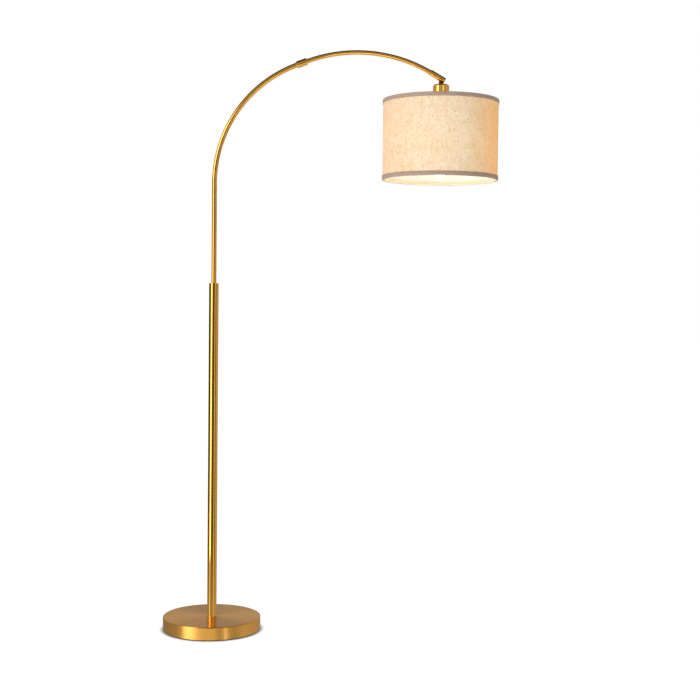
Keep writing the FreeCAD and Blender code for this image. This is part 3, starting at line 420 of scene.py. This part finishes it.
# Each finish: colour, deeper colour, metallic, roughness, cells per metre, depth in mm, and its nodes.
FINISHES = {
    "dark_bronze": ((0.16, 0.11, 0.035), (0.10, 0.07, 0.022), 0.9, 0.3, 900, 0.03, "knuckle"),
    "cast_iron": ((0.06, 0.06, 0.062), (0.035, 0.034, 0.034), 0.6, 0.75, 420, 0.4, "base_weight"),
    "zinc_steel": ((0.6, 0.6, 0.58), (0.5, 0.49, 0.45), 1.0, 0.32, 700, 0.04,
                   "base_plate", "base_stud", "base_washer", "base_nut", "pole_foot_plug",
                   "arm_joint_spigot", "socket_nipple", "stem_coupling", "nipple_nut", "pivot_screw"),
    "white_wire": ((0.86, 0.85, 0.82), (0.8, 0.79, 0.75), 0.0, 0.4, 500, 0.06,
                   "shade_spider", "shade_top_hoop", "shade_bottom_hoop"),
    "black_nylon": ((0.012, 0.012, 0.012), (0.02, 0.02, 0.02), 0.0, 0.5, 800, 0.05,
                    "pole_top_bush", "arm_guide_plug", "cord_gland", "pivot_washers"),
    "holder_plastic": ((0.85, 0.83, 0.78), (0.8, 0.77, 0.7), 0.0, 0.42, 600, 0.06,
                       "holder_cap", "holder_barrel", "shade_ring"),
    "ceramic": ((0.88, 0.87, 0.84), (0.83, 0.82, 0.79), 0.0, 0.22, 300, 0.05, "holder_insert"),
    "contact_brass": ((0.8, 0.6, 0.28), (0.66, 0.46, 0.2), 1.0, 0.28, 700, 0.04,
                      "holder_contact", "holder_screw_shell"),
    "lead_sheath": ((0.62, 0.5, 0.3), (0.54, 0.42, 0.24), 0.0, 0.5, 500, 0.08,
                    "base_lead", "pole_lead", "arm_lead", "head_lead"),
    "bulb_plastic": ((0.86, 0.86, 0.84), (0.82, 0.81, 0.78), 0.0, 0.35, 400, 0.05, "bulb_housing"),
    "nickel": ((0.72, 0.7, 0.66), (0.62, 0.6, 0.55), 1.0, 0.22, 700, 0.04, "bulb_contact"),
    "black_glass": ((0.01, 0.01, 0.012), (0.018, 0.017, 0.017), 0.0, 0.12, 300, 0.03, "bulb_insulator"),
}

clad(base_brass(), "base_shell")
clad(brass("sleeve_brass"), "end_sleeve")
for finish, (colour, deep, metallic, roughness, scale, depth_mm, *names) in FINISHES.items():
    clad(worn(finish, colour, deep, metallic, roughness, scale, depth_mm), *names)
clad(lining(), "shade_liner")
clad(opal(), "bulb_globe")
POLE_BRASS = brass("pole_brass", LENGTHWISE)
ARM_BRASS = brass("arm_brass", ROUND_THE_ARCH)
COLLAR_BRASS = brass("collar_brass")
CUP_BRASS = brass("cup_brass", LENGTHWISE, 0.13)
TAPE = tape()
FELT = felt()
NICKEL = bpy.data.materials["nickel"]

# The pole's polish shows no trace of the base.
for hidden in ("base_shell", "base_weight", "base_plate", "base_washer", "base_nut", "base_stud", "base_lead",
               "cord_gland", "pole_foot_plug"):
    NODES[hidden].visible_glossy = False


# ------------------------------------------------------------------ mesh tools

def mesh_piece(name, points, faces, material, uvs=None, smooth=True):
    """A mesh object from points and faces, with UVs given per point."""
    mesh = bpy.data.meshes.new(name)
    mesh.from_pydata([tuple(p) for p in points], [], faces)
    mesh.update()
    if uvs is not None:
        layer = mesh.uv_layers.new(name="flat")
        for loop in mesh.loops:
            layer.data[loop.index].uv = uvs[loop.vertex_index]
    for face in mesh.polygons:
        face.use_smooth = smooth
    piece = bpy.data.objects.new(name, mesh)
    bpy.context.scene.collection.objects.link(piece)
    mesh.materials.append(material)
    return piece


def grid_faces(columns, rows, wrap_columns=False, wrap_rows=False):
    """Quads of a grid whose points run row by row inside each column."""
    faces = []
    for i in range(columns if wrap_columns else columns - 1):
        for j in range(rows if wrap_rows else rows - 1):
            a = i * rows + j
            b = ((i + 1) % columns) * rows + j
            c = ((i + 1) % columns) * rows + (j + 1) % rows
            d = i * rows + (j + 1) % rows
            faces.append((a, b, c, d))
    return faces


def harden(piece, angle=40):
    """Keeps sharp edges sharp on a smooth-shaded mesh."""
    for edge in piece.data.edges:
        edge.use_edge_sharp = False
    piece.data.set_sharp_from_angle(angle=math.radians(angle))


def rounded(corners, radius, index, steps=6):
    """The corner at an index of a profile, replaced by a rounding."""
    neighbours = corners[index - 1], corners[index], corners[(index + 1) % len(corners)]
    before, corner, after = (Vector(point) for point in neighbours)
    start = corner + (before - corner).normalized() * radius
    finish = corner + (after - corner).normalized() * radius
    points = []
    for step in range(steps + 1):
        t = step / steps
        points.append(tuple(start * (1 - t) ** 2 + corner * 2 * t * (1 - t) + finish * t ** 2))
    return points


def running_lengths(line):
    """The length along a line of pairs, at each of its points."""
    lengths = [0.0]
    for (a0, b0), (a1, b1) in zip(line, line[1:]):
        lengths.append(lengths[-1] + math.hypot(a1 - a0, b1 - b0))
    return lengths


def around(columns):
    """Angles evenly spaced round a full turn."""
    return [2 * math.pi * i / columns for i in range(columns)]


def stands_for(piece, cad_node, body):
    """Puts a piece on its body, in the place of a CAD node."""
    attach(piece, body)
    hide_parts(cad_node)


def turned_piece(name, profile, material, place):
    """A closed profile of (radius, height), given anticlockwise, turned about the placed Z axis."""
    columns = 192
    lengths = running_lengths(profile)
    points = []
    uvs = []
    for angle in around(columns):
        for (radius, height), run in zip(profile, lengths):
            points.append(place @ Vector((radius * math.cos(angle), radius * math.sin(angle), height)))
            uvs.append((radius * angle, run))
    piece = mesh_piece(name, points, grid_faces(columns, len(profile), True, True), material, uvs)
    harden(piece, 32)
    return piece


# ------------------------------------------------------------------ brass tubes, collar and cup

LOWER_ANGLE = math.radians(69.4)
UPPER_ANGLE = math.radians(50.8)
LOWER_RADIUS = 324 * MM
UPPER_RADIUS = 376 * MM
BEND_START = 1164 * MM
# The two arm tubes' radii, outside and in the bore.
LOWER_TUBE = (6.35 * MM, 5.15 * MM)
UPPER_TUBE = (5.8 * MM, 4.7 * MM)
# Straight ends: in the collar, and in the sleeve.
COLLAR_END = 12.5 * MM
SLEEVE_END = 14.9 * MM
TUBE_GAP = 3.0 * MM
TUBE_LIP = 0.25 * MM

POLE_WALL = 1.2 * MM
POLE_EDGE = 0.6 * MM
COLLAR_RADII = (9.1 * MM, 6.4 * MM)
COLLAR_HALF = 14 * MM
COLLAR_EDGE = 0.9 * MM
CUP_HOLE = 5.05 * MM
CUP_WALL = 1.0 * MM
CUP_SHOULDER = 5.5 * MM


def arm_line(start, runs, heading=0.0):
    """Points and headings along the arm: straight and curved runs in the XZ plane."""
    curved_step, straight_step = 3.0 * MM, 20 * MM
    place = Vector(start)
    line = [(place.copy(), heading)]
    for length, turn in runs:
        pieces = max(1, round(length / (curved_step if turn else straight_step)))
        for _ in range(pieces):
            bend = turn / pieces
            middle_heading = heading + bend / 2
            chord = length / pieces
            if turn:
                chord *= math.sin(bend / 2) / (bend / 2)
            place += Vector((math.sin(middle_heading), 0, math.cos(middle_heading))) * chord
            heading += bend
            line.append((place.copy(), heading))
    return line


def tube_rings(line, outer, inner):
    """Centre, heading and radius of each ring: along the outside with rounded ends, then back inside."""
    first, last = line[0], line[-1]
    ahead = Vector((math.sin(first[1]), 0, math.cos(first[1]))) * TUBE_LIP
    back = Vector((math.sin(last[1]), 0, math.cos(last[1]))) * TUBE_LIP
    rings = [(first[0], first[1], outer - TUBE_LIP), (first[0] + ahead, first[1], outer)]
    rings += [(place, heading, outer) for place, heading in line[1:-1]]
    rings += [(last[0] - back, last[1], outer), (last[0], last[1], outer - TUBE_LIP)]
    return rings + [(place, heading, inner) for place, heading in reversed(line)]


def bent_tube(name, line, radii, material):
    """A hollow tube along a line, with slightly rounded ends."""
    columns = 64
    outer, inner = radii
    rings = tube_rings(line, outer, inner)
    runs = [0.0]
    for before, after in zip(rings, rings[1:]):
        runs.append(runs[-1] + (after[0] - before[0]).length)
    points = []
    uvs = []
    for angle in around(columns):
        for (place, heading, radius), run in zip(rings, runs):
            aside = Vector((math.cos(heading), 0, -math.sin(heading)))
            points.append(place + (aside * math.cos(angle) + Vector((0, 1, 0)) * math.sin(angle)) * radius)
            uvs.append((outer * angle, run))
    piece = mesh_piece(name, points, grid_faces(columns, len(rings), True, True), material, uvs)
    harden(piece, 40)
    return piece


def make_pole():
    low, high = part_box("pole_tube")
    outer = outer_radius("pole_tube")
    inner = outer - POLE_WALL
    corners = [(inner, low.z), (outer, low.z), (outer, high.z), (inner, high.z)]
    profile = corners[:2] + rounded(corners, POLE_EDGE, 2) + corners[3:]
    pole = turned_piece("brass_pole", profile, POLE_BRASS, Matrix())
    stands_for(pole, "pole_tube", "stand")


def make_arm():
    """The lower tube, the upper tube and the collar between them."""
    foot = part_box("arm_lower_tube")[0].z
    line = arm_line((0.0, 0.0, foot), [(BEND_START - foot, 0.0), (LOWER_RADIUS * LOWER_ANGLE, LOWER_ANGLE),
                                       (COLLAR_END, 0.0)])
    lower = bent_tube("brass_arm_lower", line, LOWER_TUBE, ARM_BRASS)
    stands_for(lower, "arm_lower_tube", "arm")
    centre = middle("arm_collar")
    forward = Vector((math.sin(LOWER_ANGLE), 0, math.cos(LOWER_ANGLE)))
    line = arm_line(centre + forward * (TUBE_GAP / 2),
                    [(COLLAR_END, 0.0), (UPPER_RADIUS * UPPER_ANGLE, UPPER_ANGLE), (SLEEVE_END, 0.0)],
                    LOWER_ANGLE)
    upper = bent_tube("brass_arm_upper", line, UPPER_TUBE, ARM_BRASS)
    stands_for(upper, "arm_upper_tube", "arm")
    outer, inner = COLLAR_RADII
    corners = [(inner, -COLLAR_HALF), (outer, -COLLAR_HALF), (outer, COLLAR_HALF), (inner, COLLAR_HALF)]
    profile = (corners[:1] + rounded(corners, COLLAR_EDGE, 1) + rounded(corners, COLLAR_EDGE, 2)
               + corners[3:])
    place = Matrix.Translation(centre) @ Matrix.Rotation(LOWER_ANGLE, 4, "Y")
    collar = turned_piece("brass_collar", profile, COLLAR_BRASS, place)
    stands_for(collar, "arm_collar", "arm")


def make_cup():
    """The cup, a thin shell with rounded shoulders inside and out."""
    low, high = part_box("socket_cup")
    outer = outer_radius("socket_cup")
    inner = outer - CUP_WALL
    ceiling = high.z - CUP_WALL
    inside = [(CUP_HOLE, high.z), (CUP_HOLE, ceiling), (inner, ceiling), (inner, low.z)]
    outside = [(outer, low.z), (outer, high.z), (CUP_HOLE, high.z)]
    profile = (inside[:2] + rounded(inside, CUP_SHOULDER - CUP_WALL, 2, 8) + inside[3:]
               + outside[:1] + rounded(outside, CUP_SHOULDER, 1, 10))
    cup = turned_piece("brass_cup", profile, CUP_BRASS, Matrix.Translation((HEAD_AXIS.x, HEAD_AXIS.y, 0)))
    stands_for(cup, "socket_cup", "head")


make_pole()
make_arm()
make_cup()


# ------------------------------------------------------------------ shade

FABRIC_THICK = 0.45 * MM
LAP = 12 * MM
BACK = math.radians(90)

TAPE_THICK = 0.66 * MM
# The tape's middle line lies this far inside its outer face, and this far off the wire.
TAPE_SKIN = 0.35 * MM
WIRE_RING = 145.4 * MM
WIRE_DEEP = 2.5 * MM
WIRE_RADIUS = 1.5 * MM


def make_fabric():
    """One strip of linen wrapped round the lining, lapped and glued at the back."""
    low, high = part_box("shade_fabric")
    inner_layer = outer_radius("shade_fabric") - 2.2 * FABRIC_THICK
    columns, rows = 721, 105
    tall = high.z - low.z
    long = 2 * math.pi * inner_layer + LAP
    points = []
    uvs = []
    for i in range(columns):
        run = long * i / (columns - 1)
        angle = BACK + run / inner_layer
        past = run - (long - 1.6 * LAP)
        rise = 1.1 * FABRIC_THICK * min(1.0, max(0.0, past / (0.5 * LAP)))
        for j in range(rows):
            up = tall * j / (rows - 1)
            slub = (noise.noise(Vector((run * 330, up * 9, 1.0)))
                    + noise.noise(Vector((run * 11, up * 330, 7.0))))
            wave = noise.noise(Vector((run * 60, up * 45, 3.0)))
            radius = inner_layer + rise + 0.06 * MM * slub + 0.10 * MM * wave
            points.append((HEAD_AXIS.x + radius * math.cos(angle), radius * math.sin(angle), low.z + up))
            uvs.append((run, up))
    piece = mesh_piece("linen_drum", points, grid_faces(columns, rows), linen(), uvs)
    thicken = piece.modifiers.new("thickness", "SOLIDIFY")
    thicken.thickness = FABRIC_THICK
    thicken.offset = 0.0
    stands_for(piece, "shade_fabric", "head")
    return piece, (long, tall)


def tape_line(cad_node):
    """The tape's middle line in (radius, depth from the edge): outside, over the wire, and in again."""
    low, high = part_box(cad_node)
    hem = high.z - low.z
    face = outer_radius(cad_node) - TAPE_SKIN
    line = [(face, hem - 0.02 * MM), (face + 0.05 * MM, hem * 0.75), (face, hem * 0.5), (face, 2.6 * MM)]
    fold = 1.3 * MM
    for step in range(5):
        turn = math.radians(18 * step)
        line.append((face - fold * (1 - math.cos(turn)), 1.75 * MM - fold * math.sin(turn)))
    line.append((WIRE_RING + 1.0 * MM, 0.45 * MM))
    wrap = WIRE_RADIUS + TAPE_SKIN
    for step in range(8):
        turn = math.radians(90 + 17 * step)
        line.append((WIRE_RING + wrap * math.cos(turn), WIRE_DEEP - wrap * math.sin(turn)))
    tucked = ((-0.75, 4.4), (0.6, 5.4), (1.05, 6.6), (1.1, 8.2))
    line += [(WIRE_RING + outward * MM, deep * MM) for outward, deep in tucked]
    return line + [(WIRE_RING + 1.1 * MM, hem - 0.3 * MM)]


def tape_ring(line):
    """The tape's closed section: each point of its two faces, with its place along the line."""
    last = len(line) - 1
    ring = []
    for sign in (1, -1):
        for k in range(last + 1)[::sign]:
            before, after = line[max(0, k - 1)], line[min(last, k + 1)]
            along = Vector((after[0] - before[0], after[1] - before[1])).normalized()
            half = TAPE_THICK / 2 * (0.55 if k in (0, last) else 1.0) * sign
            ring.append((line[k][0] + along.y * half, line[k][1] - along.x * half, k))
    return ring


def make_tape(name, cad_node, direction):
    """A woven tape folded over the shade's edge. direction is +1 at the bottom edge, -1 at the top."""
    line = tape_line(cad_node)
    low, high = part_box(cad_node)
    edge_height = low.z if direction > 0 else high.z
    lengths = running_lengths(line)
    ring = tape_ring(line)
    puckered_from = len(line) - 6
    columns = 480
    points = []
    uvs = []
    for angle in around(columns):
        across, deep_in = math.cos(angle), math.sin(angle)
        for radius, deep, k in ring:
            radius_here = radius + 0.07 * MM * noise.noise(Vector((across * 30, deep_in * 30, k * 0.35)))
            if k > puckered_from:
                radius_here += 0.12 * MM * noise.noise(Vector((across * 70, deep_in * 70, 5.0)))
            points.append((HEAD_AXIS.x + radius_here * across, radius_here * deep_in,
                           edge_height + direction * max(deep, 0.02 * MM)))
            uvs.append((angle * radius, lengths[k]))
    piece = mesh_piece(name, points, grid_faces(columns, len(ring), True, True), TAPE, uvs)
    stands_for(piece, cad_node, "head")
    return piece


fabric, flat_size = make_fabric()
tape_top = make_tape("edging_top", "shade_trim_top", -1)
tape_bottom = make_tape("edging_bottom", "shade_trim_bottom", 1)


# ------------------------------------------------------------------ felt foot

def make_felt_foot():
    """A felt disc with a softly rounded, slightly uneven edge."""
    low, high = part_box("foot_pad")
    radius = outer_radius("foot_pad")
    thick = high.z - low.z
    rounding = thick * 0.35
    outline = [(radius * share, 0.0) for share in (0.3, 0.6, 0.85, 0.97)]
    for degrees in (15, 35, 60, 90):
        turn = math.radians(degrees)
        outline.append((radius - rounding + rounding * math.sin(turn), rounding - rounding * math.cos(turn)))
    outline += [(radius, thick * 0.55), (radius - 0.1 * MM, thick * 0.8), (radius - 0.5 * MM, thick),
                (radius * 0.9, thick)]
    columns = 360
    points = []
    for angle in around(columns):
        across, deep_in = math.cos(angle), math.sin(angle)
        for place, height in outline:
            if place > radius * 0.98:
                place += 0.12 * MM * noise.noise(Vector((across * 90, deep_in * 90, height * 900)))
            points.append((place * across, place * deep_in, height))
    rows = len(outline)
    faces = grid_faces(columns, rows, True)
    faces.append(tuple(i * rows for i in reversed(range(columns))))
    faces.append(tuple(i * rows + rows - 1 for i in range(columns)))
    piece = mesh_piece("felt_foot", points, faces, FELT)
    piece.visible_glossy = False
    harden(piece, 50)
    stands_for(piece, "foot_pad", "stand")


make_felt_foot()


# ------------------------------------------------------------------ bulb's screw cap

CAP_PITCH = 3.629 * MM
CAP_THREAD = 0.55 * MM
CAP_SKIRT = 3.0 * MM
CAP_WALL = 0.4 * MM


def make_screw_cap():
    """The bulb's nickel cap with its rounded screw thread."""
    low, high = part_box("bulb_cap")
    tall = high.z - low.z
    middle_radius = outer_radius("bulb_cap") - CAP_THREAD
    run_in = 0.5 * CAP_PITCH
    columns, rows = 96, 90
    points = []
    for angle in around(columns):
        for j in range(rows):
            up = tall * j / (rows - 1)
            fade = min(1.0, max(0.0, (up - CAP_SKIRT) / run_in), max(0.0, (tall - up) / run_in))
            radius = middle_radius + CAP_THREAD * fade * math.cos(2 * math.pi * up / CAP_PITCH + angle)
            radius -= 1.1 * max(0.0, up - tall + 1.0 * MM)
            points.append((HEAD_AXIS.x + radius * math.cos(angle), radius * math.sin(angle), low.z + up))
    piece = mesh_piece("screw_cap", points, grid_faces(columns, rows, True), NICKEL)
    thicken = piece.modifiers.new("wall", "SOLIDIFY")
    thicken.thickness = CAP_WALL
    thicken.offset = -1.0
    stands_for(piece, "bulb_cap", "bulb")


make_screw_cap()


# ------------------------------------------------------------------ camera

CAMERA_PLACE = (0.3547, -3.3283, 0.8702)
CAMERA_DOWN = math.radians(2.337)
CAMERA_ROLL = math.radians(0.622)
CAMERA_LENS = 65.93


def make_camera():
    data = bpy.data.cameras.new("camera")
    data.lens = CAMERA_LENS
    data.sensor_width = 36.0
    data.clip_start = 0.05
    data.clip_end = 200.0
    camera = bpy.data.objects.new("camera", data)
    bpy.context.scene.collection.objects.link(camera)
    camera.matrix_world = (Matrix.Translation(CAMERA_PLACE)
                           @ Matrix.Rotation(math.radians(90) - CAMERA_DOWN, 4, "X")
                           @ Matrix.Rotation(CAMERA_ROLL, 4, "Z"))
    bpy.context.scene.camera = camera


# ------------------------------------------------------------------ studio

STUDIO_CENTRE = Vector((0.3, 0.0, 0.75))
FLOOR_HALF = 25.0
BACKDROP_RADIUS = 30.0

# The contact shadow's parts: how far each reaches from the base, and how dark it gets.
SHADOWS = ((0.012, 0.92), (0.070, 0.10))

# The walls' brightness by azimuth in degrees, where 0 is the camera's side and positive is to its right.
WALLS = ((-180, 0.10), (-150, 0.03), (-92, 0.03), (-74, 0.20), (-25, 0.10), (15, 0.10), (42, 0.12),
         (66, 0.20), (80, 0.56), (130, 0.46), (180, 0.34))
# Heights, as the Z of a direction, between which the walls' least brightness rises, and what it reaches.
LEAST_LIGHTS = ((0.09, 0.18, 0.52), (-0.13, -0.24, 0.36), (-0.32, -0.45, 0.70))

# Each light: azimuth and elevation, distance, width and height, radiance.
SOFTBOXES = {
    "key_left": (-50, 8, 2.7, 1.45, 2.9, 2.8),
    "key_left_low": (-54, -24, 2.7, 0.9, 1.3, 0.9),
    "strip_right": (33, 0, 2.6, 0.34, 3.8, 1.7),
    "floor_front": (-12, -36, 3.6, 2.8, 0.8, 1.9),
}


def make_floor():
    """A white floor that darkens only in the narrow gap round the base, as under soft light."""
    material, tree, shader = new_material("studio_floor")
    shader.inputs["Base Color"].default_value = (0.2, 0.2, 0.2, 1)
    shader.inputs["Roughness"].default_value = 1.0
    shader.inputs["Specular IOR Level"].default_value = 0.0
    shader.inputs["Emission Color"].default_value = (1, 1, 1, 1)
    light = 0.985
    for reach, share in SHADOWS:
        near = node(tree, "AmbientOcclusion", samples=8)
        near.inputs["Distance"].default_value = reach
        light = maths(tree, "MULTIPLY", span(tree, near.outputs["AO"], 0.4, 1.0, 1.0 - share, 1.0), light)
    tree.links.new(light, shader.inputs["Emission Strength"])
    corners = [(x * FLOOR_HALF, y * FLOOR_HALF, 0) for x, y in ((-1, -1), (1, -1), (1, 1), (-1, 1))]
    floor = mesh_piece("studio_floor", corners, [(0, 1, 2, 3)], material, smooth=False)
    for ray in ("glossy", "diffuse", "shadow"):
        setattr(floor, "visible_" + ray, False)


def make_backdrop():
    """A white dome that only the camera sees, so the metal reflects the lights and not the backdrop."""
    material, tree, shader = new_material("studio_backdrop")
    tree.nodes.remove(shader)
    glow = node(tree, "Emission")
    glow.inputs["Color"].default_value = (1, 1, 1, 1)
    glow.inputs["Strength"].default_value = 1.0
    tree.links.new(glow.outputs[0], tree.nodes["Material Output"].inputs["Surface"])
    made = bmesh.new()
    bmesh.ops.create_uvsphere(made, u_segments=48, v_segments=24, radius=BACKDROP_RADIUS)
    mesh = bpy.data.meshes.new("studio_backdrop")
    made.to_mesh(mesh)
    made.free()
    mesh.materials.append(material)
    dome = bpy.data.objects.new("studio_backdrop", mesh)
    bpy.context.scene.collection.objects.link(dome)
    for ray in ("glossy", "diffuse", "transmission", "volume_scatter", "shadow"):
        setattr(dome, "visible_" + ray, False)


def make_world():
    """Studio walls whose brightness changes round the lamp: dark behind on the left, lit on the right."""
    world = bpy.data.worlds.new("studio")
    bpy.context.scene.world = world
    world.use_nodes = True
    tree = world.node_tree
    back = tree.nodes["Background"]
    back.inputs["Color"].default_value = (1, 1, 1, 1)
    way = separate(tree, node(tree, "TexCoord").outputs["Generated"])
    azimuth = maths(tree, "ARCTAN2", way["X"], maths(tree, "MULTIPLY", way["Y"], -1.0))
    ramp = node(tree, "ValToRGB")
    stops = ramp.color_ramp.elements
    while len(stops) < len(WALLS):
        stops.new(0.5)
    for stop, (angle, light) in zip(stops, WALLS):
        stop.position = (angle + 180) / 360
        stop.color = (light, light, light, 1)
    tree.links.new(span(tree, azimuth, -math.pi, math.pi), ramp.inputs["Fac"])
    walls = ramp.outputs["Color"]
    for start, end, light in LEAST_LIGHTS:
        walls = maths(tree, "MAXIMUM", walls, span(tree, way["Z"], start, end, 0.0, light))
    overhead = span(tree, way["Z"], 0.45, 0.75, 1.0, 0.15)
    tree.links.new(maths(tree, "MULTIPLY", walls, overhead), back.inputs["Strength"])


def make_softbox(name, azimuth, elevation, distance, width, height, radiance):
    """A rectangular light aimed at the lamp. Azimuth 0 is the camera's side, and positive is to its right."""
    turn, lift = math.radians(azimuth), math.radians(elevation)
    away = Vector((math.sin(turn) * math.cos(lift), -math.cos(turn) * math.cos(lift), math.sin(lift)))
    data = bpy.data.lights.new(name, "AREA")
    data.shape = "RECTANGLE"
    data.size, data.size_y = width, height
    data.energy = radiance * math.pi * width * height
    light = bpy.data.objects.new(name, data)
    bpy.context.scene.collection.objects.link(light)
    light.location = STUDIO_CENTRE + away * distance
    light.rotation_mode = "QUATERNION"
    light.rotation_quaternion = away.to_track_quat("Z", "Y")
    light.visible_camera = False


def make_bulb_light():
    """The bulb's own light, which moves with the bulb and shines through its shell."""
    data = bpy.data.lights.new("bulb_light", "POINT")
    data.energy = 0.27
    data.color = (1.0, 0.8, 0.55)
    data.shadow_soft_size = 0.018
    light = bpy.data.objects.new("bulb_light", data)
    bpy.context.scene.collection.objects.link(light)
    light.location = (HEAD_AXIS.x, HEAD_AXIS.y, middle("bulb_globe").z)
    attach(light, "bulb")
    NODES["bulb_globe"].visible_shadow = False


make_camera()
make_floor()
make_backdrop()
make_world()
for light_name, settings in SOFTBOXES.items():
    make_softbox(light_name, *settings)
make_bulb_light()
bpy.context.scene.view_settings.view_transform = "Standard"
